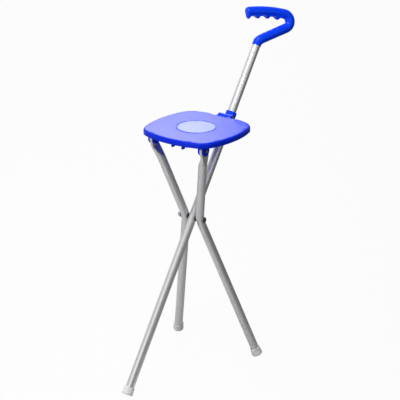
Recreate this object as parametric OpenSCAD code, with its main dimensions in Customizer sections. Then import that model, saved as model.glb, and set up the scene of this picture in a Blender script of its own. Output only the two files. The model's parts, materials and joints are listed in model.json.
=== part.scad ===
// Folding cane seat: a walking stick that opens into a three-legged stool.
// Row frame: X to the sitter's right hand leg, -Y to the front, +Z up, floor at Z = 0.
// Millimetres and degrees. The cane leans back; two bent legs cross it at one bolt.
// Its lean follows from the seat: the cane runs from the bolt past the seat's rear hinge.

/* [Tubes] */
// Outside diameter of the cane and leg tubes
tube_d = 19; // [17:0.5:22]
// Wall of the tubes
tube_wall = 1.2; // [1:0.1:1.6]

/* [Cane] */
// Height of the pivot bolt above the floor
pivot_height = 344.7; // [320:0.5:370]
// Length of cane tube above the pivot bolt
cane_above = 421; // [410:1:450]

/* [Legs] */
// Forward lean of the legs seen from the side
leg_tilt = 13.7; // [12:0.1:16]
// Distance from the bolt to the seat pins, seen from the side
leg_above = 191; // [188:0.5:193]
// Sideways splay of the leg below the bolt
splay_below = 15.4; // [12:0.1:18]
// Centre line radius of the bend at the bolt
bend_r = 60; // [50:1:80]
// Thickness of the flattened top of a leg
tang_t = 6; // [5:0.5:7]
// Length of the round-to-flat stretch of a leg
swage_len = 26; // [20:1:34]

/* [Pivot bolt] */
// Diameter of the pivot bolt
bolt_d = 6; // [5:0.5:7]
// Thickness of the spacers between the cane and the legs
spacer_t = 2; // [1:0.5:4]
// Diameter of the spacers and washers
spacer_d = 14; // [12:1:16]
// Diameter of the domed bolt head
bolt_head_d = 12; // [10:0.5:14]
// Height of the domed bolt head
bolt_head_h = 4; // [3:0.5:5]
// Width of the nut across its flats
nut_af = 10; // [9:0.5:11]
// Height of the nut
nut_h = 5; // [4:0.5:6]
// Thickness of the outer washers
washer_t = 1.2; // [0.8:0.1:2]

/* [Seat] */
// Side of the square seat
seat_w = 194; // [186:1:206]
// Slope of the seat down to the back
seat_slope = 1.7; // [0:0.1:3]
// Radius of the seat's corners
seat_corner_r = 45; // [35:1:55]
// Radius of the gently bowed sides
seat_side_r = 900; // [600:50:2000]
// Thickness of the seat's top
seat_t = 4; // [3:0.5:5]
// Depth of the rim skirt
rim_depth = 10; // [8:0.5:12]
// Wall of the rim skirt
rim_wall = 3; // [2.5:0.5:4]
// Rounding of the top edge
rim_round = 5; // [3:0.5:6]
// Distance from the front edge back to the seat pins
pin_setback = 33; // [28:1:38]
// Depth of the seat pins below the seat's top
pin_depth = 24.5; // [22:0.5:28]
// Diameter of the pale disc in the seat's top
disc_d = 85; // [70:1:100]
// Thickness of the disc
disc_t = 0.8; // [0.5:0.1:1.2]

/* [Seat ears] */
// Distance from the seat's side edge to the middle of a leg's top
ear_inset = 28.4; // [24:0.2:34]
// Thickness of one ear
ear_t = 4; // [3:0.5:5]
// Radius of an ear's round end
ear_r = 11; // [9:0.5:12]
// Diameter of the seat pins
pin_d = 5; // [4:0.5:6]
// Diameter of the pin heads
pin_head_d = 7.5; // [7:0.5:9]
// Thickness of the pin heads and caps
pin_head_t = 1.8; // [1.2:0.2:2.4]

/* [Rear hinge] */
// Distance of the rear hinge behind the seat's rear edge
hinge_back = 11.3; // [10:0.1:16]
// Depth of the rear hinge below the seat's top
hinge_depth = 4.4; // [3:0.1:6]
// Distance of the rear hinge in front of the cane's axis
hinge_offset = 15; // [14:0.5:17]
// Diameter of the hinge barrel
barrel_d = 13; // [11:0.5:14]
// Width of one seat knuckle
knuckle_w = 5.5; // [4:0.5:12]
// Diameter of the rear hinge pin
hinge_pin_d = 4; // [3:0.5:5]
// Outside diameter of the sliding collar
collar_d = 25; // [24.5:0.5:27]
// Length of the sliding collar
collar_len = 33; // [28:1:40]
// Diameter of the stop pin under the collar
stop_d = 5; // [4:0.5:6]

/* [Storage clip] */
// Thickness of a clip finger
clip_t = 4; // [3:0.5:5]
// Length of a clip finger along the cane
clip_len = 8; // [6:0.5:10]
// Pitch of the two pairs of clip fingers
clip_pitch = 15.5; // [13:0.5:20]
// Depth of the clip fingers below the seat's top
clip_depth = 32; // [30:0.5:34]

/* [Handle] */
// Diameter of the handle's section
grip_d = 20.5; // [20:0.5:23]
// Turn of the handle about the cane, away from the seat's centre plane
handle_turn = 35; // [0:1:90]
// Angle of the neck's first bend
neck_angle = 45; // [38:1:52]
// Radius of the neck's first bend
neck_r = 20; // [16:1:26]
// Length of the straight arm
arm_len = 66; // [55:1:80]
// Radius of the U bend at the heel
heel_r = 17; // [14:0.5:22]
// Radius of the gentle arch of the grip
arch_r = 249; // [200:1:320]
// Turn of the U bend
heel_angle = 143.2; // [134:0.1:148]
// Length of the grip along its arch
grip_len = 92.5; // [88:0.5:100]
// Pitch of the finger ridges
ridge_pitch = 25.2; // [22:0.1:26]
// Reach of a ridge below the grip's centre line
ridge_reach = 18.5; // [16:0.5:20]
// Width of a ridge across the grip
ridge_w = 16; // [12:0.5:18]

/* [Rubber tips] */
// Diameter of the rubber tips at their lower end
tip_d = 24.5; // [24:0.5:30]
// Diameter of the rubber tips at their upper end
tip_top_d = 22.5; // [22:0.5:28]
// Height of the rubber tips along the tube
tip_len = 18; // [16:1:30]
// Rounding of the tips' lower edge
tip_round = 3; // [2:0.5:6]
// Rubber below the tube's end
tip_floor = 4; // [3:0.5:7]
// Depth of the flat worn under a tip
tip_flat = 0.8; // [0.6:0.1:1.5]

/* [Clearances] */
// Radial clearance of a pin or bolt in a moving hole
pin_gap = 0.05; // [0.03:0.01:0.1]
// Clearance between faces that slide past each other
side_gap = 0.4; // [0.3:0.05:0.6]
// Radial clearance of the collar on the cane
slide_gap = 0.6; // [0.5:0.05:0.8]
// Clearance of parts that are pressed or pushed together
seat_gap = 0.1; // [0.05:0.05:0.2]

/* [Hidden] */
$fn = 64;

blue = "#1034d8";
metal = "#a8aaac";
steel = "#c8c8cc";
rubber = "#d8d8d6";
pale = "#b9c4ff";
// A bend is this much thinner than the straight tube, and runs this far into it
join_step = 0.03;
join_len = 0.4;
function turn_of(len, r) = len / (r * PI / 180);

tube_r = tube_d / 2;
bore_r = tube_r - tube_wall;
bolt_r = bolt_d / 2;
hinge_r = barrel_d / 2;

// Places in the side view, as [back, up] from the bolt; a point of the seat is given
// as [back, up] from its pins, before the seat's slope
pin_at = [-leg_above * sin(leg_tilt), leg_above * cos(leg_tilt)];
function seat_point(p) = pin_at + [p[0] * cos(seat_slope) + p[1] * sin(seat_slope),
                                   p[1] * cos(seat_slope) - p[0] * sin(seat_slope)];
seat_back = seat_w - pin_setback;
hinge_at = seat_point([seat_back + hinge_back, pin_depth - hinge_depth]);

// The cane's axis runs from the bolt and passes hinge_offset behind the rear hinge
cane_tilt = atan2(hinge_at[0], hinge_at[1]) + asin(hinge_offset / norm(hinge_at));
hinge_up = sqrt(pow(norm(hinge_at), 2) - pow(hinge_offset, 2));

// Leg centre line in its own plane
leg_x = tube_d + spacer_t + 2 * seat_gap;
leg_floor = pivot_height / cos(leg_tilt);
low_x = leg_x + bend_r * (1 - cos(splay_below));
low_len = (leg_floor - bend_r * sin(splay_below)) / cos(splay_below);
// The splay above the bolt takes the leg's top to the seat's ears
pin_x = seat_w / 2 - ear_inset;
splay_above = atan2(leg_above, bend_r - (pin_x - leg_x))
    - acos(bend_r / norm([leg_above, bend_r - (pin_x - leg_x)]));
high_x = leg_x + bend_r * (1 - cos(splay_above));
tang_start = 15;
swage_z = leg_above - tang_start - swage_len;
high_len = (swage_z - bend_r * sin(splay_above)) / cos(splay_above);
leg_lean = acos(cos(leg_tilt) * cos(splay_below));

// How far above the floor point, along a leaning tube, its rubber tip starts
function tip_start(lean) =
    ((tip_d / 2 - tip_round) * sin(lean) + tip_round - tip_flat) / cos(lean) - tip_round;
function tube_start(lean) = tip_start(lean) + tip_floor + washer_t + 2 * seat_gap;
cane_floor = pivot_height / cos(cane_tilt);

// Handle centre line in its own plane, x towards the grip's end, z up the cane
grip_r = grip_d / 2;
neck_z = 1;
neck_end = [-neck_r * (1 - cos(neck_angle)), neck_z + neck_r * sin(neck_angle)];
arm_end = neck_end + arm_len * [-sin(neck_angle), cos(neck_angle)];
heel_mid = arm_end + heel_r * [cos(neck_angle), sin(neck_angle)];
heel_out = 180 + neck_angle - heel_angle;
arch_mid = heel_mid + (heel_r - arch_r) * [cos(heel_out), sin(heel_out)];
arch_turn = turn_of(grip_len, arch_r);
ridge_turn = turn_of(ridge_pitch, arch_r);
grip_end = heel_out - arch_turn;
groove_r = (ridge_turn * PI / 180 * (arch_r - ridge_reach) - 2) / 2;
groove_bite = 0.6;

// Origin: middle of the object's box on the floor
heel_plane = [-sin(handle_turn), -cos(handle_turn)];
heel_back = (cane_above + heel_mid[1]) * sin(cane_tilt)
    + heel_mid[0] * heel_plane[1] * cos(cane_tilt)
    + heel_r * norm([sin(cane_tilt), heel_plane[1] * cos(cane_tilt)]) + grip_r;
tip_front = (cane_floor - tip_start(cane_tilt) - tip_round) * sin(cane_tilt)
    + (tip_d / 2 - tip_round) * cos(cane_tilt) + tip_round;
pivot_y = (tip_front - heel_back) / 2;

module at_pivot() { translate([0, pivot_y, pivot_height]) children(); }
// z runs up the cane from the bolt, -y is its front
module in_cane() { at_pivot() rotate([-cane_tilt, 0, 0]) children(); }
// z runs up the leg in the side view, from the bolt
module in_leg() { at_pivot() rotate([leg_tilt, 0, 0]) children(); }
// z runs up a leg's lower stretch from the point where its axis meets the floor
module in_foot() {
    in_leg() translate([low_x, 0, -bend_r * sin(splay_below)])
        rotate([0, -splay_below, 0]) translate([0, 0, -low_len]) children();
}
module in_cane_foot() { in_cane() translate([0, 0, -cane_floor]) children(); }
module at_pin() { at_pivot() translate([0, pin_at[0], pin_at[1]]) children(); }
module at_hinge() { at_pivot() translate([0, hinge_at[0], hinge_at[1]]) children(); }
// The seat's frame: its origin is above the pins, in the plane of the seat's top
module in_seat() { at_pin() rotate([-seat_slope, 0, 0]) translate([0, 0, pin_depth]) children(); }
module on_seat() { in_seat() translate([0, seat_w / 2 - pin_setback, 0]) children(); }
module x_rod(r, x0, x1) { translate([x0, 0, 0]) rotate([0, 90, 0]) cylinder(r = r, h = x1 - x0); }
module above_floor() {
    cut = 2 * pivot_height;
    difference() {
        children();
        translate([-cut, -cut, -cut]) cube([2 * cut, 2 * cut, cut]);
    }
}

module tube(len) {
    difference() {
        cylinder(r = tube_r, h = len);
        translate([0, 0, -1]) cylinder(r = bore_r, h = len + 2);
    }
}

module main_tube() color(metal) in_cane() difference() {
    start = tube_start(cane_tilt) - cane_floor;
    translate([0, 0, start]) tube(cane_above - start);
    x_rod(bolt_r + pin_gap, -tube_d, tube_d);
    translate([0, 0, stop_z]) x_rod(stop_d / 2 + pin_gap, -tube_d, tube_d);
}

// Rubber tip, standing on z = 0: a slight cone with a rounded lower edge and a rolled lip
module tip(lean) {
    r = tip_d / 2;
    top_r = tip_top_d / 2;
    lip = 1.2;
    translate([0, 0, tip_start(lean)]) difference() {
        union() {
            rotate_extrude() difference() {
                polygon([[0, 0], [r, 0], [r, tip_round], [top_r, tip_len - lip], [0, tip_len - lip]]);
                translate([r - tip_round, tip_round]) difference() {
                    translate([0, -tip_round - 1]) square([tip_round + 1, tip_round + 1]);
                    circle(tip_round);
                }
            }
            translate([0, 0, tip_len - lip]) rotate_extrude()
                translate([top_r - lip / 2, 0]) circle(lip);
        }
        translate([0, 0, tip_floor]) cylinder(r = tube_r + seat_gap, h = tip_len);
    }
}

module tip_washer(lean) {
    translate([0, 0, tip_start(lean) + tip_floor + seat_gap]) difference() {
        cylinder(r = tube_r, h = washer_t);
        translate([0, 0, -1]) cylinder(r = bolt_r, h = washer_t + 2);
    }
}

module main_tip() color(rubber) above_floor() in_cane_foot() tip(cane_tilt);
module main_tip_washer() color(steel) in_cane_foot() tip_washer(cane_tilt);

// Bent round bar in the XZ plane, from angle a0 on, with its ends inside the straights
module bend_arc(mid, r, a0, turn, section) {
    extra = turn_of(join_len, r);
    translate([mid[0], 0, mid[1]]) rotate([90, 0, 0]) rotate([0, 0, a0 - extra])
        rotate_extrude(angle = turn + 2 * extra) translate([r, 0]) circle(section - join_step);
}

// Leg for the +X side; the other one is its mirror image
module leg_bend(r) {
    bend_arc([leg_x + bend_r, 0], bend_r, 180 - splay_above, splay_above + splay_below, r);
}
module leg_run(r, start, grow) {
    in_low_leg() translate([0, 0, start - grow]) cylinder(r = r, h = low_len - start + grow);
    leg_bend(r);
    in_high_leg() cylinder(r = r, h = high_len + grow);
}
module in_low_leg() {
    translate([low_x, 0, -bend_r * sin(splay_below)]) rotate([0, -splay_below, 0])
        translate([0, 0, -low_len]) children();
}
module in_high_leg() {
    translate([high_x, 0, bend_r * sin(splay_above)]) rotate([0, splay_above, 0]) children();
}
// Round tube squeezed to a flat
module swage(r, t, w) {
    slice = 0.5;
    hull() {
        in_high_leg() translate([0, 0, high_len - slice])
            cylinder(r = r - 3 * join_step, h = slice, $fn = 32);
        translate([pin_x - t / 2, -w / 2, leg_above - tang_start - slice]) cube([t, w, slice]);
    }
}
module leg_tube() {
    start = tube_start(leg_lean);
    tang_w = 2 * ear_r;
    in_leg() difference() {
        union() {
            leg_run(tube_r, start, 0);
            swage(tube_r, tang_t, tang_w);
            translate([pin_x, 0, leg_above]) {
                x_rod(ear_r, -tang_t / 2, tang_t / 2);
                translate([-tang_t / 2, -tang_w / 2, -tang_start - 0.2])
                    cube([tang_t, tang_w, tang_start + 0.2]);
            }
        }
        leg_run(bore_r, start, 0.4);
        swage(bore_r, tang_t - 2 * tube_wall, tang_w - 3 * tube_wall);
        x_rod(bolt_r + pin_gap, 0, leg_x + tube_d);
        translate([pin_x, 0, leg_above]) x_rod(pin_d / 2 + pin_gap, -tube_d, tube_d);
    }
}
module right_leg_tube() color(metal) leg_tube();
module left_leg_tube() color(metal) mirror([1, 0, 0]) leg_tube();
module leg_tip() { above_floor() in_foot() tip(leg_lean); }
module leg_tip_washer() { in_foot() tip_washer(leg_lean); }
module right_tip() color(rubber) leg_tip();
module left_tip() color(rubber) mirror([1, 0, 0]) leg_tip();
module right_tip_washer() color(steel) leg_tip_washer();
module left_tip_washer() color(steel) mirror([1, 0, 0]) leg_tip_washer();

// The leg's outer side is hollow at the bend, so a flat washer stands a little off it
hollow_r = bend_r - tube_r;
leg_out = leg_x + tube_r + hollow_r - sqrt(pow(hollow_r, 2) - pow(spacer_d / 2, 2));
head_x = leg_out + washer_t + 2 * seat_gap;
// The bolt, from the nut's side to its domed head
module pivot_bolt() color("#505058") in_cane() {
    dome_r = (bolt_head_d * bolt_head_d / 4 + bolt_head_h * bolt_head_h) / (2 * bolt_head_h);
    x_rod(bolt_r, -head_x - nut_h - 2, head_x + bolt_head_h / 2);
    translate([head_x + bolt_head_h - dome_r, 0, 0]) rotate([0, 90, 0]) rotate_extrude()
        intersection() {
            circle(dome_r);
            translate([0, dome_r - bolt_head_h]) square(bolt_head_d);
        }
}
module pivot_nut() color(steel) in_cane() difference() {
    translate([-head_x - nut_h, 0, 0]) rotate([0, 90, 0])
        cylinder(d = nut_af / cos(30), h = nut_h, $fn = 6);
    x_rod(bolt_r + pin_gap, -head_x - nut_h - 1, -head_x + 1);
}
module ring_x(x0, t, r) {
    difference() {
        x_rod(r, x0, x0 + t);
        x_rod(bolt_r + pin_gap, x0 - 1, x0 + t + 1);
    }
}
module pivot_spacers() color("#202024") in_cane() {
    ring_x(tube_r + seat_gap, spacer_t, spacer_d / 2);
    ring_x(-tube_r - seat_gap - spacer_t, spacer_t, spacer_d / 2);
}
module pivot_washers() color(steel) in_cane() {
    ring_x(leg_out + seat_gap, washer_t, spacer_d / 2);
    ring_x(-leg_out - seat_gap - washer_t, washer_t, spacer_d / 2);
}

// The collar slides on the cane and stops on the pin below it
collar_r = collar_d / 2;
stop_reach = collar_r - 0.5;
stop_z = hinge_up - collar_len / 2 - side_gap - stop_d / 2;
lug_x = collar_r + 0.1;
module stop_pin() color(steel) in_cane() translate([0, 0, stop_z]) {
    x_rod(stop_d / 2, -stop_reach, stop_reach);
}
module collar() color(blue) in_cane() translate([0, 0, hinge_up]) difference() {
    union() {
        translate([0, 0, -collar_len / 2]) cylinder(r = collar_r, h = collar_len);
        translate([0, -hinge_offset, 0]) x_rod(hinge_r, -lug_x, lug_x);
        translate([-lug_x, -hinge_offset, -hinge_r])
            cube([2 * lug_x, hinge_offset - tube_r / 2, barrel_d]);
    }
    translate([0, 0, -collar_len]) cylinder(r = tube_r + slide_gap, h = 2 * collar_len);
    translate([0, -hinge_offset, 0]) x_rod(hinge_pin_d / 2 + pin_gap, -collar_d, collar_d);
}

// Seat outline: four bowed sides and four round corners, each side tangent to its corners
half = seat_w / 2;
side_k = seat_side_r - half;
corner_c = (-side_k + sqrt(2 * pow(seat_side_r - seat_corner_r, 2) - side_k * side_k)) / 2;
side_turn = atan2(corner_c, corner_c + side_k);
function arc(mid, r, a0, a1, n) =
    [for (i = [0 : n]) mid + r * [cos(a0 + (a1 - a0) * i / n), sin(a0 + (a1 - a0) * i / n)]];
function turned(points, a) =
    [for (p = points) [p[0] * cos(a) - p[1] * sin(a), p[0] * sin(a) + p[1] * cos(a)]];
function seat_quarter(inset) = concat(
    arc([-side_k, 0], seat_side_r - inset, -side_turn, side_turn, 8),
    arc([corner_c, corner_c], seat_corner_r - inset, side_turn, 90 - side_turn, 12));
module seat_outline(inset) {
    polygon([for (a = [0, 90, 180, 270]) each turned(seat_quarter(inset), a)]);
}
// Skirt with a rounded top edge and a ledge that carries the top
module rim_section(r, step) difference() {
    ledge_t = seat_t - 1;
    translate([r - 2 * rim_wall, -rim_depth + step])
        square([2 * rim_wall - step, rim_depth - join_step - 2 * step]);
    translate([r - rim_round, -rim_round]) difference() {
        square(rim_round + 1);
        circle(rim_round - step);
    }
    translate([r - 2 * rim_wall - 1, -rim_depth - 1])
        square([rim_wall + 1 + step, rim_depth + 1 - ledge_t]);
}
corner_extra = turn_of(join_len, seat_corner_r);
module seat_rim() {
    for (a = [0, 90, 180, 270]) rotate([0, 0, a]) {
        translate([-side_k, 0, 0]) rotate([0, 0, -side_turn])
            rotate_extrude(angle = 2 * side_turn, $fn = 360) rim_section(seat_side_r, 0);
        translate([corner_c, corner_c, 0]) rotate([0, 0, side_turn - corner_extra])
            rotate_extrude(angle = 90 - 2 * side_turn + 2 * corner_extra)
                rim_section(seat_corner_r, join_step);
    }
}
wall_mid = rim_wall - 0.5;
module seat_top_plate() {
    translate([0, 0, -seat_t]) linear_extrude(seat_t / 2) seat_outline(wall_mid);
    translate([0, 0, -seat_t / 2 - 0.5]) linear_extrude(seat_t / 2 + 0.5) seat_outline(1.5 * rim_wall);
}

channel_x = collar_r + 3;
rib_t = 2.4;
rib_depth = rim_depth - 1;
module seat_ribs() {
    inner = half - rim_wall + 0.5;
    for (s = [-1, 1]) {
        translate([s * channel_x - rib_t / 2, -inner, -rib_depth])
            cube([rib_t, 2 * inner, rib_depth - 1]);
        for (y = [-half / 2, 0, half / 2])
            translate([s > 0 ? channel_x : -inner, y - rib_t / 2, -rib_depth])
                cube([inner - channel_x, rib_t, rib_depth - 1]);
    }
}

// A pair of ears straddles the flat top of each leg
ear_in = tang_t / 2 + side_gap;
module ear(x) {
    translate([x, 0, 0]) {
        x_rod(ear_r, 0, ear_t);
        translate([0, -ear_r, 0]) cube([ear_t, 2 * ear_r, pin_depth - 1]);
    }
}
module seat_ears() {
    for (s = [0, 1]) mirror([s, 0, 0]) {
        ear(pin_x + ear_in);
        ear(pin_x - ear_in - ear_t);
    }
}
// Arms from the rear edge to the two outer knuckles
knuckle_x = lug_x + side_gap;
module seat_knuckles() {
    reach = hinge_back + rim_wall;
    for (s = [0, 1]) mirror([s, 0, 0]) {
        x_rod(hinge_r, knuckle_x, knuckle_x + knuckle_w);
        translate([knuckle_x, -reach, 1.5 - hinge_r])
            cube([knuckle_w, reach, hinge_depth + hinge_r - 2]);
    }
}
// Two pairs of fingers that hold the cane when the seat is folded flat
clip_x = tube_r + side_gap + 2;
clip_bead = clip_t / 2 + 0.5;
module clip_fingers() {
    for (s = [0, 1]) mirror([s, 0, 0]) for (y = [0, clip_pitch]) {
        translate([clip_x, y - clip_len / 2 - 1, -clip_depth + clip_bead])
            cube([clip_t, clip_len, clip_depth - clip_bead - 1]);
        translate([clip_x + clip_t / 2, y + clip_len / 2 - 1, -clip_depth + clip_bead])
            rotate([90, 0, 0]) cylinder(r = clip_bead, h = clip_len);
    }
}

module seat_plate() color(blue) difference() {
    union() {
        on_seat() {
            seat_rim();
            seat_top_plate();
            intersection() {
                seat_ribs();
                translate([0, 0, -rim_depth]) linear_extrude(rim_depth) seat_outline(wall_mid);
            }
        }
        in_seat() translate([0, 0, -pin_depth]) seat_ears();
        at_hinge() rotate([-seat_slope, 0, 0]) seat_knuckles();
        in_seat() clip_fingers();
    }
    on_seat() translate([0, 0, -disc_t]) cylinder(d = disc_d + 2 * seat_gap, h = disc_t + 1);
    at_pin() for (s = [0, 1]) mirror([s, 0, 0]) translate([pin_x, 0, 0])
        x_rod(pin_d / 2 + pin_gap, -ear_in - ear_t - 1, ear_in + ear_t + 1);
    at_hinge() x_rod(hinge_pin_d / 2 + pin_gap, -knuckle_x - knuckle_w - 1, knuckle_x + knuckle_w + 1);
    // Gap in the rear skirt, where the collar lies when the seat is folded
    on_seat() translate([-knuckle_x, half - 2 * rim_wall, -rim_depth - 1])
        cube([2 * knuckle_x, 3 * rim_wall, rim_depth + 1 - seat_t]);
}
module seat_disc() color(pale) on_seat() translate([0, 0, -disc_t]) cylinder(d = disc_d, h = disc_t);

// Headed pin along x; its cap is pushed on at the other end
module headed_pin(r, x0, x1) {
    x_rod(r, x0 - pin_head_t, x1 + pin_head_t / 2);
    x_rod(pin_head_d / 2, x1, x1 + pin_head_t);
}
module pin_cap(r, x0) {
    difference() {
        x_rod(pin_head_d / 2, x0 - pin_head_t - 0.8, x0 - seat_gap);
        x_rod(r + pin_gap, x0 - pin_head_t - seat_gap, x0 + 1);
    }
}
pin_out = ear_in + ear_t + seat_gap;
module seat_pin() { at_pin() translate([pin_x, 0, 0]) headed_pin(pin_d / 2, -pin_out, pin_out); }
module seat_pin_cap() { at_pin() translate([pin_x, 0, 0]) pin_cap(pin_d / 2, -pin_out + seat_gap); }
module right_seat_pin() color(steel) seat_pin();
module left_seat_pin() color(steel) mirror([1, 0, 0]) seat_pin();
module right_pin_cap() color(steel) seat_pin_cap();
module left_pin_cap() color(steel) mirror([1, 0, 0]) seat_pin_cap();
hinge_out = knuckle_x + knuckle_w + seat_gap;
module hinge_pin() color(steel) at_hinge() headed_pin(hinge_pin_d / 2, -hinge_out, hinge_out);
module hinge_pin_cap() color(steel) at_hinge() pin_cap(hinge_pin_d / 2, -hinge_out + seat_gap);

// Handle: one moulding of a spigot, a bent neck, a U bend and an arched grip
module finger_ridges() {
    ridge_r = ridge_w / 2;
    first = heel_out - ridge_turn * 0.22;
    last = grip_end - 0.4;
    translate([arch_mid[0], 0, arch_mid[1]]) rotate([90, 0, 0]) difference() {
        rotate([0, 0, last]) rotate_extrude(angle = first - last) {
            translate([arch_r - ridge_reach + ridge_r, 0]) circle(ridge_r);
            translate([arch_r - ridge_reach + ridge_r, -ridge_r])
                square([ridge_reach - ridge_r, ridge_w]);
        }
        for (i = [0 : 3]) rotate([0, 0, grip_end + ridge_turn * (i + 0.5)])
            translate([arch_r - grip_r + groove_bite - groove_r, 0, -grip_d])
                cylinder(r = groove_r, h = 2 * grip_d);
    }
}
module grip_cap() {
    cap = 4;
    rotate_extrude() {
        translate([0, -2 * join_len]) square([grip_r - 2 * join_step, 2 * join_len]);
        square([grip_r - cap, cap]);
        translate([grip_r - cap, 0]) intersection() {
            circle(cap);
            square([cap - 2 * join_step, cap]);
        }
    }
}
module handle() color(blue) in_cane() translate([0, 0, cane_above + seat_gap])
    rotate([0, 0, -90 - handle_turn]) {
    spigot = 35;
    translate([0, 0, -spigot]) cylinder(r = bore_r - seat_gap, h = spigot + 1);
    cylinder(r = grip_r, h = neck_z);
    bend_arc([-neck_r, neck_z], neck_r, 0, neck_angle, grip_r);
    translate([neck_end[0], 0, neck_end[1]]) rotate([0, -neck_angle, 0])
        cylinder(r = grip_r, h = arm_len);
    bend_arc(heel_mid, heel_r, heel_out, heel_angle, grip_r);
    bend_arc(arch_mid, arch_r, grip_end, arch_turn, grip_r + join_step);
    translate([arch_mid[0] + arch_r * cos(grip_end), 0, arch_mid[1] + arch_r * sin(grip_end)])
        rotate([0, 180 - grip_end, 0]) grip_cap();
    finger_ridges();
}

main_tube();
handle();
main_tip();
main_tip_washer();
pivot_bolt();
pivot_nut();
pivot_spacers();
pivot_washers();
stop_pin();
right_leg_tube();
right_tip();
right_tip_washer();
left_leg_tube();
left_tip();
left_tip_washer();
seat_plate();
seat_disc();
right_seat_pin();
right_pin_cap();
left_seat_pin();
left_pin_cap();
hinge_pin();
hinge_pin_cap();
collar();
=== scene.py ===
import bisect
import json
import math

import bmesh
import bpy
from mathutils import Euler, Matrix, Vector


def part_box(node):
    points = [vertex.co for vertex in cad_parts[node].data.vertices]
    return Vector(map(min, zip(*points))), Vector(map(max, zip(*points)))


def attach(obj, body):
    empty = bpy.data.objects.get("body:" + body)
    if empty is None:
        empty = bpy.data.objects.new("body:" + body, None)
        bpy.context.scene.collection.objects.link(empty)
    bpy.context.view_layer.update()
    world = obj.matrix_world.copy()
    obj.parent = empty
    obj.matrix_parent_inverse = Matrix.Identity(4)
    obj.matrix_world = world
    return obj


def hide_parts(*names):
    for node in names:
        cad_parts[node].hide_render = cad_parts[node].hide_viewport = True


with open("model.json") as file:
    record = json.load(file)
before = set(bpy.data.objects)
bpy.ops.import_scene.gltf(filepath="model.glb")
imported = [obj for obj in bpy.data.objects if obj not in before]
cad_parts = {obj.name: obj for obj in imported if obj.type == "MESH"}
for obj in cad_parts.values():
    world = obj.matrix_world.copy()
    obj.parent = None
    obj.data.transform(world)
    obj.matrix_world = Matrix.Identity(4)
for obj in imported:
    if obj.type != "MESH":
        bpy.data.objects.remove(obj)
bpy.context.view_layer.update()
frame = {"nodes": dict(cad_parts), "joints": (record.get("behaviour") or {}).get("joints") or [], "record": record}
nodes = frame["nodes"]
joints = {j["name"]: j for j in frame["joints"]}

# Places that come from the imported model, in metres
pivot = Vector(joints["right_leg_fold"]["pos_m"])
disc_low, disc_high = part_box("seat_disc")
disc_mid = (disc_low + disc_high) / 2
disc_radius = (disc_high.x - disc_low.x) / 2

# Angles of the part's source, which the frame doesn't hold
cane_tilt, leg_tilt, seat_slope = (math.radians(a) for a in (36.08, 13.7, 1.7))
# The inlay's top lies on the seat's slope, its middle halfway between its ends
seat_top = Vector((disc_mid.x, disc_mid.y, disc_high.z - disc_radius * math.sin(seat_slope)))

# The seat's solid has nearly straight sides; the photograph's are fuller
solid_seat = dict(half_x=0.097, half_y=0.097, side_radius=0.9, corner_radius=0.045, back=0)
photo_seat = dict(half_x=0.1055, half_y=0.1035, side_radius=0.213, corner_radius=0.043, back=0.002)

# The handle's sizes, from the tube's end to the end of the grip
tube_above_bolt = 0.4211
handle_turn = math.radians(-125)
tube_r, lip_r, lip_len = 0.00955, 0.0102, 0.0045
spigot_r, spigot_len = 0.0082, 0.035
neck_r, neck_angle, arm_len = 0.020, math.pi / 4, 0.066
heel_r, heel_angle = 0.017, math.radians(147.0)
arch_r, grip_len, grip_r = 0.300, 0.0895, 0.01125
cap_len = 0.0043
# The finger ridges under the grip and the round grooves between them
ridge_start, ridge_reach, ridge_half, ridge_level = 0.0055, 0.0165, 0.008, 0.0085
groove_count, groove_pitch, groove_r, groove_bite = 4, 0.0252, 0.01086, 0.0016
groove_setback = 0.0103


def new_material(name, roughness, metallic=0.0, **sockets):
    """A material with a Principled shader; the extra sockets are set by their names."""
    mat = bpy.data.materials.new(name)
    mat.use_nodes = True
    shader = mat.node_tree.nodes["Principled BSDF"]
    shader.inputs["Roughness"].default_value = roughness
    shader.inputs["Metallic"].default_value = metallic
    for key, value in sockets.items():
        shader.inputs[key.replace("_", " ")].default_value = value
    return mat, shader


def add(owner, kind, **values):
    """A node in a material or world; values are settings or, by their names, sockets."""
    node = owner.node_tree.nodes.new(kind)
    for key, value in values.items():
        if hasattr(node, key):
            setattr(node, key, value)
        else:
            node.inputs[key.replace("_", " ")].default_value = value
    return node


def link(owner, source, target):
    owner.node_tree.links.new(source, target)


def place(mat, turn=(0, 0, 0), scale=(1, 1, 1)):
    """Object coordinates, turned so that z runs along the piece, then stretched."""
    coord = add(mat, "ShaderNodeTexCoord")
    turned = add(mat, "ShaderNodeMapping", vector_type="TEXTURE", Rotation=turn)
    stretched = add(mat, "ShaderNodeMapping", Scale=scale)
    link(mat, coord.outputs["Object"], turned.inputs["Vector"])
    link(mat, turned.outputs["Vector"], stretched.inputs["Vector"])
    return stretched.outputs["Vector"]


def noise(mat, vector, size, detail, rough=0.55):
    """Noise whose spots are about size metres across."""
    tex = add(mat, "ShaderNodeTexNoise", Scale=1 / size, Detail=detail, Roughness=rough)
    link(mat, vector, tex.inputs["Vector"])
    return tex.outputs["Fac"]


def ramp(mat, value, stops):
    """Colours or greys at places from 0 to 1 along value."""
    node = add(mat, "ShaderNodeValToRGB")
    elements = node.color_ramp.elements
    while len(elements) < len(stops):
        elements.new(0.5)
    for element, (at, colour) in zip(elements, stops):
        element.position = at
        element.color = (*colour, 1) if isinstance(colour, tuple) else (colour, colour, colour, 1)
    link(mat, value, node.inputs["Fac"])
    return node.outputs["Color"]


def mixed(mat, share, first, second):
    """The first colour where share is 0, the second where it is 1."""
    node = add(mat, "ShaderNodeMix", data_type="RGBA")
    link(mat, share, node.inputs["Factor"])
    link(mat, first, node.inputs["A"])
    link(mat, second, node.inputs["B"])
    return node.outputs["Result"]


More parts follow.
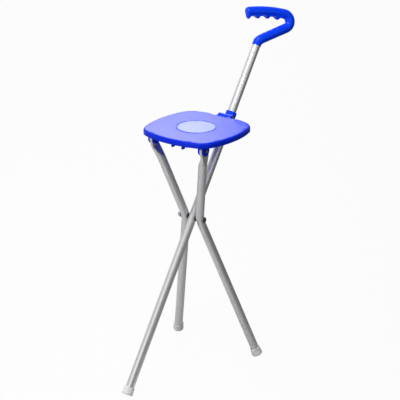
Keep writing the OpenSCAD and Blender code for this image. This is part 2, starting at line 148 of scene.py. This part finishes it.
def graded(owner, coordinate, direction, start, end, low=0.0, high=1.0):
    """A value that goes from low to high between two places along a direction."""
    side = add(owner, "ShaderNodeVectorMath", operation="DOT_PRODUCT")
    side.inputs[1].default_value = direction
    link(owner, add(owner, "ShaderNodeTexCoord").outputs[coordinate], side.inputs[0])
    across = add(owner, "ShaderNodeMapRange", From_Min=start, From_Max=end, To_Min=low, To_Max=high)
    link(owner, side.outputs["Value"], across.inputs["Value"])
    return across.outputs["Result"]


def bump(mat, shader, height, distance, strength):
    node = add(mat, "ShaderNodeBump", Strength=strength, Distance=distance)
    link(mat, height, node.inputs["Height"])
    link(mat, node.outputs["Normal"], shader.inputs["Normal"])


def drawn_tube(name, turn):
    """Satin aluminium with fine lines along the tube and faint handling marks."""
    mat, shader = new_material(name, roughness=0.34, metallic=0.85)
    lines = noise(mat, place(mat, turn, (1, 1, 0.01)), size=0.0005, detail=3)
    marks = noise(mat, place(mat, turn, (1, 1, 0.35)), size=0.012, detail=6, rough=0.65)
    grey = ramp(mat, lines, [(0.3, (0.71, 0.71, 0.72)), (0.7, (0.76, 0.76, 0.77))])
    link(mat, grey, shader.inputs["Base Color"])
    link(mat, ramp(mat, marks, [(0.3, 0.36), (0.75, 0.46)]), shader.inputs["Roughness"])
    bump(mat, shader, lines, distance=0.000006, strength=0.12)
    return mat


def moulded_blue(name):
    """Glossy blue moulding with a faint orange peel."""
    blue_shine = (0.45, 0.62, 1.0, 1.0)
    mat, shader = new_material(
        name, roughness=0.3, Specular_IOR_Level=0.3, Specular_Tint=blue_shine)
    here = place(mat)
    clouds = noise(mat, here, size=0.03, detail=3)
    handled = noise(mat, here, size=0.009, detail=5, rough=0.6)
    peel = noise(mat, here, size=0.004, detail=1)
    colour = ramp(mat, clouds, [(0.3, (0.0005, 0.044, 0.88)), (0.75, (0.001, 0.060, 0.96))])
    link(mat, colour, shader.inputs["Base Color"])
    link(mat, ramp(mat, handled, [(0.3, 0.26), (0.8, 0.36)]), shader.inputs["Roughness"])
    bump(mat, shader, peel, distance=0.00002, strength=0.3)
    return mat


def seat_blue():
    """The seat's blue: its flat top has a fine grain and a paler colour that is a painted sheen, its edge is
    glossy and painted a darker blue as painted shade.
    """
    mat, shader = new_material("seat_blue", roughness=0.3)
    here = place(mat)
    parts = add(mat, "ShaderNodeSeparateXYZ")
    # The piece's own normal, so that the top stays the top when the seat is folded
    facing = add(mat, "ShaderNodeTexCoord")
    link(mat, facing.outputs["Normal"], parts.inputs["Vector"])
    top = ramp(mat, parts.outputs["Z"], [(0.9, 0.0), (0.995, 1.0)])
    grain = noise(mat, here, size=0.0007, detail=2)
    clouds = noise(mat, here, size=0.035, detail=4)
    # Painted shade: the edge is a darker blue. Painted sheen: the top is a paler blue.
    edge = ramp(mat, clouds, [(0.3, (0.0005, 0.022, 0.66)), (0.75, (0.001, 0.032, 0.78))])
    top_painted_sheen = ramp(mat, clouds, [(0.25, (0.050, 0.080, 0.92)), (0.8, (0.075, 0.11, 0.97))])
    link(mat, mixed(mat, top, edge, top_painted_sheen), shader.inputs["Base Color"])
    link(mat, ramp(mat, top, [(0.0, 0.27), (1.0, 0.42)]), shader.inputs["Roughness"])
    link(mat, ramp(mat, top, [(0.0, 0.14), (1.0, 0.35)]), shader.inputs["Specular IOR Level"])
    bump(mat, shader, grain, distance=0.00005, strength=0.5)
    return mat


def pale_inlay():
    """The pale round inlay, printed bare, with a fine satin grain."""
    mat, shader = new_material("pale_inlay", roughness=0.42)
    here = place(mat)
    clouds = noise(mat, here, size=0.02, detail=5)
    grain = noise(mat, here, size=0.0006, detail=2)
    colour = ramp(mat, clouds, [(0.3, (0.24, 0.30, 0.90)), (0.75, (0.30, 0.36, 0.93))])
    link(mat, colour, shader.inputs["Base Color"])
    bump(mat, shader, grain, distance=0.00004, strength=0.5)
    return mat


def pale_rubber():
    """Light grey rubber, scuffed, and darker in the last 3 mm above the floor."""
    mat, shader = new_material("pale_rubber", roughness=0.62)
    here = place(mat)
    spots = noise(mat, here, size=0.004, detail=6, rough=0.7)
    scuffs = noise(mat, here, size=0.0008, detail=2)
    above_floor = graded(mat, "Object", (0, 0, 1), start=0.0, end=0.003)
    upper_grey = ramp(mat, spots, [(0.3, (0.80, 0.80, 0.79)), (0.75, (0.86, 0.86, 0.85))])
    lower_grey = ramp(mat, spots, [(0.35, (0.52, 0.51, 0.49)), (0.7, (0.68, 0.67, 0.65))])
    link(mat, mixed(mat, above_floor, lower_grey, upper_grey), shader.inputs["Base Color"])
    bump(mat, shader, scuffs, distance=0.000008, strength=0.3)
    return mat


def turned_steel(name, dark, light):
    """Plated steel of pins, washers and nut, with fine turning marks."""
    mat, shader = new_material(name, roughness=0.3, metallic=1.0)
    marks = noise(mat, place(mat, scale=(0.05, 1, 1)), size=0.0006, detail=3)
    dull = noise(mat, place(mat), size=0.003, detail=4)
    link(mat, ramp(mat, marks, [(0.3, dark), (0.7, light)]), shader.inputs["Base Color"])
    link(mat, ramp(mat, dull, [(0.3, 0.24), (0.75, 0.42)]), shader.inputs["Roughness"])
    bump(mat, shader, marks, distance=0.00002, strength=0.4)
    return mat


def dark_coat(name, roughness, light, dark):
    """Black finish of the bolt and spacers, worn a little lighter in spots."""
    mat, shader = new_material(name, roughness)
    here = place(mat)
    worn = noise(mat, here, size=0.003, detail=6, rough=0.7)
    grain = noise(mat, here, size=0.0005, detail=3)
    link(mat, ramp(mat, worn, [(0.45, dark), (0.8, light)]), shader.inputs["Base Color"])
    bump(mat, shader, grain, distance=0.00003, strength=0.4)
    return mat


def smooth(obj, angle=32):
    """Shades round faces smoothly and keeps the real edges sharp."""
    obj.data.polygons.foreach_set("use_smooth", [True] * len(obj.data.polygons))
    obj.data.set_sharp_from_angle(angle=math.radians(angle))


def dress(obj, mat):
    """Gives one material to every slot of an object."""
    if not obj.material_slots:
        obj.data.materials.append(mat)
    for part in obj.material_slots:
        part.material = mat


def new_object(name, data):
    obj = bpy.data.objects.new(name, data)
    bpy.context.scene.collection.objects.link(obj)
    return obj


def object_from(name, mesh):
    """Turns a finished bmesh into an object."""
    data = bpy.data.meshes.new(name)
    mesh.to_mesh(data)
    mesh.free()
    return new_object(name, data)


def lathe(name, profile, steps=96):
    """A ring turned about the z axis from (radius, height) points, in metres."""
    mesh = bmesh.new()
    rings = []
    for i in range(steps):
        a = 2 * math.pi * i / steps
        rings.append([mesh.verts.new((r * math.cos(a), r * math.sin(a), z)) for r, z in profile])
    count = len(profile)
    for i in range(steps):
        now, after = rings[i], rings[(i + 1) % steps]
        for k in range(count):
            mesh.faces.new((now[k], after[k], after[(k + 1) % count], now[(k + 1) % count]))
    bmesh.ops.recalc_face_normals(mesh, faces=mesh.faces)
    obj = object_from(name, mesh)
    smooth(obj, angle=60)
    return obj


def eased(value):
    """Goes from 0 to 1 with level ends as value does."""
    value = min(1.0, max(0.0, value))
    return value * value * (3 - 2 * value)


def outline(half_x, half_y, side_radius, corner_radius, back):
    """Angles and distances, from the seat's middle, of four bowed sides and four round corners."""
    half = (half_x + half_y) / 2
    side = side_radius - half
    corner = (math.sqrt(2 * (side_radius - corner_radius) ** 2 - side ** 2) - side) / 2
    turn = math.atan2(corner, corner + side)
    corner_turn = math.pi / 2 - 2 * turn
    side_steps, corner_steps = 20, 30
    quarter = [
        (-side + side_radius * math.cos(a), side_radius * math.sin(a))
        for a in (turn * (k / side_steps - 1) for k in range(2 * side_steps + 1))
    ]
    quarter += [
        (corner + corner_radius * math.cos(a), corner + corner_radius * math.sin(a))
        for a in (turn + corner_turn * k / corner_steps for k in range(1, corner_steps))
    ]
    points = []
    for k in range(4):
        c, d = round(math.cos(k * math.pi / 2)), round(math.sin(k * math.pi / 2))
        points += [(x * c - y * d, x * d + y * c) for x, y in quarter]
    points = [(x * half_x / half, y * half_y / half + back) for x, y in points]
    pairs = sorted((math.atan2(y, x), math.hypot(x, y)) for x, y in points)
    return [a for a, _ in pairs], [r for _, r in pairs]


def reach_at(shape, angle):
    """Distance of an outline from the middle at an angle, straight between its points."""
    angles, reaches = shape
    k = bisect.bisect(angles, angle)
    a0, a1 = angles[k - 1] - (2 * math.pi if k == 0 else 0), angles[k % len(angles)]
    a1 += 2 * math.pi if k == len(angles) else 0
    share = (angle - a0) / (a1 - a0)
    return reaches[k - 1] + share * (reaches[k % len(angles)] - reaches[k - 1])


def bowed(point, before, after):
    """Moves a point of the moulding's edge out to the fuller outline and draws the skirt down."""
    # Only the outer part of the seat grows, and nothing under the skirt, such as ears and fingers
    still_share, blend_share = 0.72, 0.22
    ear_top, ear_blend = -0.016, 0.005
    # The rear hinge's knuckles stay as they are
    hinge_y, hinge_top, hinge_half, hinge_blend = 0.06, 0.003, 0.021, 0.024
    # The skirt is drawn down from its middle, but for the gap at the hinge
    skirt_share, skirt_mid, skirt_end, skirt_draw, skirt_gap = 0.93, -0.006, -0.0106, 1.6, 0.0195
    x, y, z = point
    angle, far = math.atan2(y, x), math.hypot(x, y)
    edge = reach_at(before, angle)
    by_hinge = y > hinge_y and z < hinge_top
    share = eased((far / edge - still_share) / blend_share) * eased((z - ear_top) / ear_blend)
    if by_hinge:
        share *= eased((abs(x) - hinge_half) / hinge_blend)
    grown = 1 + share * (reach_at(after, angle) / edge - 1)
    on_skirt = far / edge > skirt_share and skirt_end < z < skirt_mid
    if on_skirt and not (by_hinge and abs(x) < skirt_gap):
        z = skirt_mid + (z - skirt_mid) * skirt_draw
    return Vector((x * grown, y * grown, z))


def copied_mesh(name):
    """A node's mesh in the part's frame, with the solid's smallest steps closed."""
    smallest_step = 0.00006
    mesh = bmesh.new()
    mesh.from_mesh(nodes[name].data)
    mesh.transform(nodes[name].matrix_world)
    bmesh.ops.remove_doubles(mesh, verts=mesh.verts, dist=smallest_step)
    return mesh


def shown_instead(mesh, name, node, body, mat):
    """Shows a moulding's finished mesh in place of its node."""
    obj = object_from(name, mesh)
    smooth(obj)
    dress(obj, mat)
    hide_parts(node)
    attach(obj, body)


def seat_moulding():
    """The seat's moulding, its sides bowed and its skirt deep as in the photograph."""
    mesh = copied_mesh("seat_plate")
    to_seat = Matrix.Rotation(seat_slope, 4, "X") @ Matrix.Translation(-seat_top)
    mesh.transform(to_seat)
    # Cuts every few millimetres let the long straight edges follow the curve
    cut_pitch, cuts = 0.008, 12
    for axis in (Vector((1, 0, 0)), Vector((0, 1, 0))):
        for k in range(-cuts, cuts + 1):
            everything = mesh.verts[:] + mesh.edges[:] + mesh.faces[:]
            cut_at = axis * cut_pitch * k
            bmesh.ops.bisect_plane(mesh, geom=everything, plane_co=cut_at, plane_no=axis)
    before, after = outline(**solid_seat), outline(**photo_seat)
    for vert in mesh.verts:
        vert.co = bowed(vert.co, before, after)
    mesh.transform(to_seat.inverted())
    shown_instead(mesh, "seat_moulding", "seat_plate", "seat", seat_blue())


def outward(angle):
    """Direction at an angle in the handle's plane, from x towards z."""
    return Vector((math.cos(angle), 0, math.sin(angle)))


def handle_path():
    """The handle's middle line from the tube's end: place, inward side, length along the grip."""
    lead, neck_z = 0.0004, 0.001
    neck_steps, arm_steps, heel_steps, grip_steps = 10, 12, 40, 112
    path = [(Vector((0, 0, lead)), outward(0), None)]
    for k in range(neck_steps + 1):
        side = outward(neck_angle * k / neck_steps)
        path.append((Vector((-neck_r, 0, neck_z)) + side * neck_r, side, None))
    start, side, _ = path[-1]
    forward = Vector((-side.z, 0, side.x))
    path += [(start + forward * arm_len * k / arm_steps, side, None) for k in range(1, arm_steps)]
    heel_mid = start + forward * arm_len + side * heel_r
    heel_start = math.pi + neck_angle
    heel_end = heel_start - heel_angle
    for k in range(heel_steps + 1):
        out = outward(heel_start + (heel_end - heel_start) * k / heel_steps)
        path.append((heel_mid + out * heel_r, -out, 0.0 if k == heel_steps else None))
    arch_mid = heel_mid + outward(heel_end) * (heel_r - arch_r)
    for k in range(1, grip_steps + 1):
        length = grip_len * k / grip_steps
        out = outward(heel_end - length / arch_r)
        path.append((arch_mid + out * arch_r, -out, length))
    return path


def ridge_depth(length):
    """Depth of the finger ridges under the middle line, with round grooves between them."""
    bottom = ridge_reach if length > ridge_start else 0.0
    for i in range(groove_count):
        off = abs(length - (grip_len - groove_setback - groove_pitch * i))
        if off < groove_r:
            arc = math.sqrt(groove_r ** 2 - off ** 2)
            bottom = min(bottom, grip_r - groove_bite + groove_r - arc)
    return bottom


def grip_section(length, turn):
    """Distance of the surface from the middle line; at turn 0 the ridges point inward."""
    across, inward = abs(math.sin(turn)), math.cos(turn)
    least_inward, least_across = 0.05, 1e-6
    if inward <= least_inward:
        return grip_r
    # The ridges have flat sides down to a round underside
    if across > least_across and ridge_half / across * inward <= ridge_level:
        ridge = ridge_half / across
    else:
        round_part = math.sqrt(max(0, ridge_half ** 2 - (ridge_level * across) ** 2))
        ridge = ridge_level * inward + round_part
    ridge = min(ridge, ridge_depth(length) / inward)
    # A short blend instead of a crease where ridge and grip meet
    blend = 0.0012
    share = min(1, max(0, 0.5 + (ridge - grip_r) / (2 * blend)))
    return grip_r + share * (ridge - grip_r) + blend * share * (1 - share)


def handle_rings():
    """Rings of the handle from the spigot's end: middle, inward side, and reach by turn."""
    spigot_edge, face_z = 0.001, 0.0003
    lip_edge_r, lip_edge_z, lip_taper = 0.0002, 0.0003, 0.0002
    swell_len, cap_steps = 0.008, 9
    top_r = lip_r + lip_taper
    # The moulding's lip reaches a little way over the tube's end and swells into the neck
    straight = (
        (-spigot_len, spigot_r - spigot_edge), (-spigot_len + spigot_edge, spigot_r),
        (face_z, spigot_r), (face_z, tube_r),
        (-lip_len, tube_r), (-lip_len, lip_r - lip_edge_r), (-lip_len + lip_edge_z, lip_r),
        (0, top_r),
    )
    for z, r in straight:
        yield Vector((0, 0, z)), outward(0), lambda turn, r=r: r
    path = handle_path()
    for middle, inward, length in path:
        if length is None:
            r = top_r + (grip_r - top_r) * eased(middle.z / swell_len)
            yield middle, inward, lambda turn, r=r: r
        else:
            yield middle, inward, lambda turn, length=length: grip_section(length, turn)
    end, inward, _ = path[-1]
    forward = Vector((-inward.z, 0, inward.x))
    for k in range(1, cap_steps + 1):
        a = math.pi / 2 * k / cap_steps
        yield (end + forward * cap_len * math.sin(a), inward,
               lambda turn, a=a: grip_section(grip_len, turn) - cap_len * (1 - math.cos(a)))


def handle_moulding(blue):
    """The handle in one sweep: spigot, bent neck, arm, U bend and grip with finger ridges."""
    sides = 72
    turns = [2 * math.pi * k / sides for k in range(sides)]
    y_axis = Vector((0, 1, 0))
    mesh = bmesh.new()
    rings = [
        [
            mesh.verts.new(middle + (inward * math.cos(t) + y_axis * math.sin(t)) * reach(t))
            for t in turns
        ]
        for middle, inward, reach in handle_rings()
    ]
    for now, after in zip(rings, rings[1:]):
        for k in range(sides):
            n = (k + 1) % sides
            mesh.faces.new((now[k], now[n], after[n], after[k]))
    mesh.faces.new(rings[0])
    mesh.faces.new(rings[-1])
    bmesh.ops.recalc_face_normals(mesh, faces=mesh.faces)
    on_cane = Matrix.Translation(pivot) @ Matrix.Rotation(-cane_tilt, 4, "X")
    on_tube = on_cane @ Matrix.Translation((0, 0, tube_above_bolt))
    mesh.transform(on_tube @ Matrix.Rotation(handle_turn, 4, "Z"))
    shown_instead(mesh, "handle_moulding", "handle", "cane", blue)


def inlay_bead(blue):
    """Low rounded bead round the pale inlay."""
    height, width, steps = 0.0004, 0.0013, 8
    profile = [
        (disc_radius + width * math.cos(a), height * math.sin(a))
        for a in (math.pi * k / steps for k in range(steps + 1))
    ]
    profile += [(disc_radius - width, -height), (disc_radius + width, -height)]
    ring = lathe("inlay_bead", profile)
    ring.data.transform(Matrix.Translation(seat_top) @ Matrix.Rotation(-seat_slope, 4, "X"))
    dress(ring, blue)
    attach(ring, "seat")


def dress_nodes():
    """Gives each node its material, and adds the mouldings that follow the photograph."""
    leg_lean = Euler((leg_tilt, 0, 0))
    tubes = {
        "main_tube": drawn_tube("tube_cane", (-cane_tilt, 0, 0)),
        "right_leg_tube": drawn_tube("tube_right_leg", leg_lean),
        "left_leg_tube": drawn_tube("tube_left_leg", leg_lean),
    }
    blue, rubber = moulded_blue("blue_moulding"), pale_rubber()
    steel = turned_steel("turned_steel", (0.52, 0.52, 0.54), (0.66, 0.66, 0.68))
    dull_steel = turned_steel("dull_steel", (0.30, 0.30, 0.32), (0.42, 0.42, 0.44))
    by_slot = {
        "moulding": blue,
        "seat_disc": pale_inlay(),
        "tip_rubber": rubber,
        "spacer": dark_coat("spacer_black", 0.5, (0.07, 0.07, 0.075), (0.02, 0.02, 0.022)),
        "dark_steel": dark_coat("bolt_black", 0.32, (0.12, 0.12, 0.13), (0.03, 0.03, 0.033)),
        "steel": steel,
    }
    slots = {s["node"]: s["material_slot"] for s in frame["record"]["subparts"]}
    for name, obj in nodes.items():
        if name in tubes:
            dress(obj, tubes[name])
        elif name.endswith(("_pin", "_cap")):
            dress(obj, dull_steel)
        else:
            dress(obj, by_slot[slots[name]])
        smooth(obj)
    seat_moulding()
    handle_moulding(blue)
    inlay_bead(blue)


def white_for_camera(owner, own, target, share, glossy_share):
    """Mixes plain white into what the camera sees, and in part into clear reflections."""
    path = add(owner, "ShaderNodeLightPath")
    clear = add(owner, "ShaderNodeMath", operation="MAXIMUM")
    link(owner, path.outputs["Is Glossy Ray"], clear.inputs[0])
    link(owner, path.outputs["Is Transmission Ray"], clear.inputs[1])
    part = add(owner, "ShaderNodeMath", operation="MAXIMUM")
    parts = ((path.outputs["Is Camera Ray"], share), (clear.outputs[0], glossy_share))
    for k, (ray, most) in enumerate(parts):
        scaled = add(owner, "ShaderNodeMath", operation="MULTIPLY")
        scaled.inputs[1].default_value = most
        link(owner, ray, scaled.inputs[0])
        link(owner, scaled.outputs[0], part.inputs[k])
    in_material = isinstance(owner, bpy.types.Material)
    white = add(owner, "ShaderNodeEmission" if in_material else "ShaderNodeBackground",
                Color=(1, 1, 1, 1), Strength=1.0)
    mixer = add(owner, "ShaderNodeMixShader")
    link(owner, part.outputs[0], mixer.inputs["Fac"])
    link(owner, own, mixer.inputs[1])
    link(owner, white.outputs[0], mixer.inputs[2])
    link(owner, mixer.outputs[0], target)


def make_floor():
    size = 6.0
    mesh = bmesh.new()
    corners = [(-size, -size), (size, -size), (size, size), (-size, size)]
    mesh.faces.new([mesh.verts.new((x, y, 0)) for x, y in corners])
    floor = object_from("floor", mesh)
    mat, shader = new_material("floor_white", roughness=0.9, Specular_IOR_Level=0.1)
    # Painted shade: the floor's own colour is painted darker towards the right-hand back, which the tubes show as
    # a dark right edge
    across = graded(mat, "Object", (-0.80, -0.60, 0), start=-0.6, end=0.2)
    link(mat, ramp(mat, across, [(0.0, 0.06), (1.0, 0.64)]), shader.inputs["Base Color"])
    surface = mat.node_tree.nodes["Material Output"].inputs["Surface"]
    white_for_camera(mat, shader.outputs["BSDF"], surface, share=0.96, glossy_share=0.1)
    floor.data.materials.append(mat)


def make_world():
    """A pale studio that is darker towards the right-hand back, where no lamp stands."""
    world = bpy.data.worlds.new("studio")
    world.use_nodes = True
    bpy.context.scene.world = world
    back = world.node_tree.nodes["Background"]
    back.inputs["Color"].default_value = (1, 1, 1, 1)
    to_lamps = (-0.90, -0.15, 0.40)
    shade = graded(world, "Generated", to_lamps, start=-0.5, end=0.8, low=0.04, high=0.62)
    link(world, shade, back.inputs["Strength"])
    surface = world.node_tree.nodes["World Output"].inputs["Surface"]
    white_for_camera(world, back.outputs[0], surface, share=1.0, glossy_share=0.1)


def area_light(name, place_at, aim, size, power):
    """A rectangular lamp that looks at a place; its power is in watts."""
    data = bpy.data.lights.new(name, "AREA")
    data.shape = "RECTANGLE"
    data.size, data.size_y = size
    data.energy = power
    lamp = new_object(name, data)
    lamp.location = place_at
    lamp.rotation_euler = (Vector(aim) - Vector(place_at)).to_track_quat("-Z", "Y").to_euler()


def make_lights():
    up_the_cane, away = 0.33, 1.15
    high_tube = pivot + Vector((0, math.sin(cane_tilt), math.cos(cane_tilt))) * up_the_cane
    # Of the tubes only the upper one sees this box in its mirror direction
    box_at = high_tube + Vector((0.86, -0.32, 0.40)) * away
    area_light("tube_box", box_at, aim=high_tube, size=(0.9, 0.4), power=1.6)
    area_light("key", (0.1, -0.6, 2.3), aim=(0, 0.1, 0.6), size=(0.8, 0.8), power=24)
    area_light("fill", (0.3, -2.7, 1.2), aim=(0, 0, 0.45), size=(1.6, 1.6), power=14)
    area_light("back", (-0.53, 0.50, 0.95), aim=(0, -0.03, 0.55), size=(0.4, 0.4), power=2.2)


def make_camera():
    """The photograph's view: fitted to tube widths, feet, bolt, seat and handle."""
    azimuth, elevation = math.radians(37.59), math.radians(20.31)
    distance = 3.8428
    lens_px, frame_px, sensor = 1726.47, 400, 36.0
    middle_px = (195.27, 192.12)
    aim_from_bolt = Vector((0, 0.0092, 0.0565))
    out = Vector((
        math.sin(azimuth) * math.cos(elevation),
        -math.cos(azimuth) * math.cos(elevation),
        math.sin(elevation),
    ))
    data = bpy.data.cameras.new("photo")
    data.sensor_width = sensor
    data.lens = lens_px * sensor / frame_px
    data.shift_x = (frame_px / 2 - middle_px[0]) / frame_px
    data.shift_y = (middle_px[1] - frame_px / 2) / frame_px
    data.clip_end = 50
    camera = new_object("photo", data)
    # The fit was made with the seat level; the camera turns with it about the bolt
    from_bolt = Matrix.Translation(aim_from_bolt + out * distance)
    looking = (-out).to_track_quat("-Z", "Y").to_matrix().to_4x4()
    turn = Matrix.Translation(pivot) @ Matrix.Rotation(-seat_slope, 4, "X")
    camera.matrix_world = turn @ from_bolt @ looking
    bpy.context.scene.camera = camera


make_camera()
make_floor()
make_world()
make_lights()
dress_nodes()
bpy.context.scene.view_settings.view_transform = "Standard"
